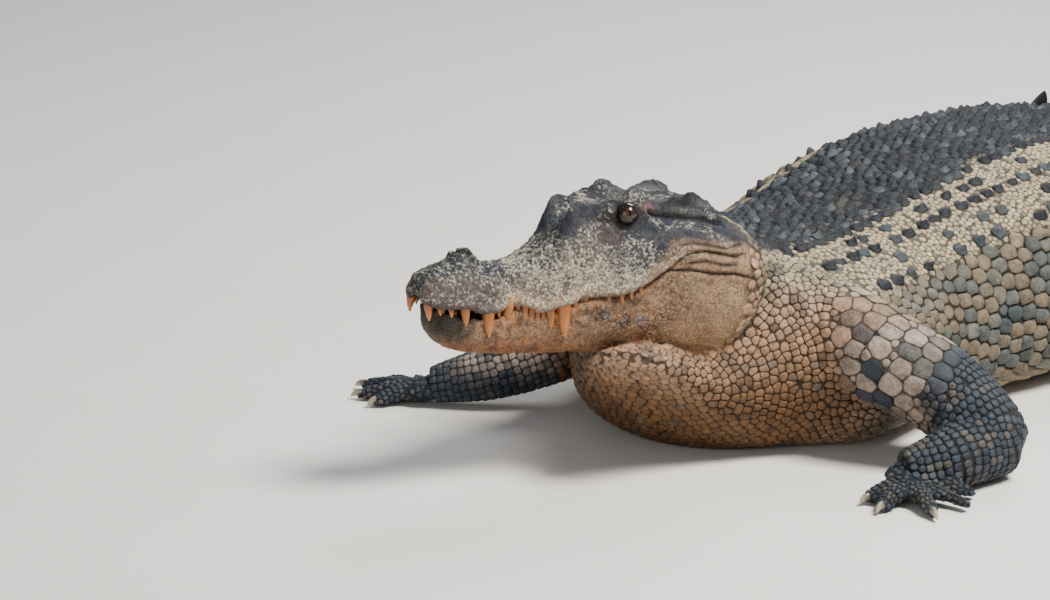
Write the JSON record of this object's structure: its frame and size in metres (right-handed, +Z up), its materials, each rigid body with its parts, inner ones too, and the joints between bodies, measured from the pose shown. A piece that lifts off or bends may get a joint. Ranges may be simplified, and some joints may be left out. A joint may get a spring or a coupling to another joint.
{
  "type": "saltwater crocodile model",
  "caption": "Life-size still model of a resting saltwater crocodile, head raised and turned to its right, mouth slightly open.",
  "frame": {"origin": "middle of the animal's footprint box, on the ground its belly, hands and feet rest on", "axes": "+Z up; the trunk faces -Y and the tail runs to +Y; the animal's left is +X"},
  "size_m": [1.6536, 4.4762, 0.5817],
  "materials": {
    "skin_dark": "scaly hide, dark blue-grey, satin",
    "skin_pale": "scaly hide, tan and yellow ochre, satin",
    "skin_back": "scaly hide, sandy grey with dark scutes, satin",
    "eye": "wet dark brown eye, glossy",
    "teeth": "stained ivory teeth, glossy",
    "claws": "horn claws, grey-tan, satin"
  },
  "bodies": {
    "root": {"head": "skin_dark", "upper_arm_left": "skin_dark", "forearm_left": "skin_dark", "hand_left": "skin_dark", "upper_arm_right": "skin_dark", "forearm_right": "skin_dark", "hand_right": "skin_dark", "thigh_left": "skin_dark", "shank_left": "skin_dark", "foot_left": "skin_dark", "thigh_right": "skin_dark", "shank_right": "skin_dark", "foot_right": "skin_dark", "jaw": "skin_pale", "neck": "skin_pale", "chest": "skin_back", "belly": "skin_back", "hips": "skin_back", "tail_1": "skin_back", "tail_2": "skin_back", "tail_3": "skin_back", "tail_4": "skin_back", "eye_left": "eye", "eye_right": "eye"}
  },
  "joints": []
}
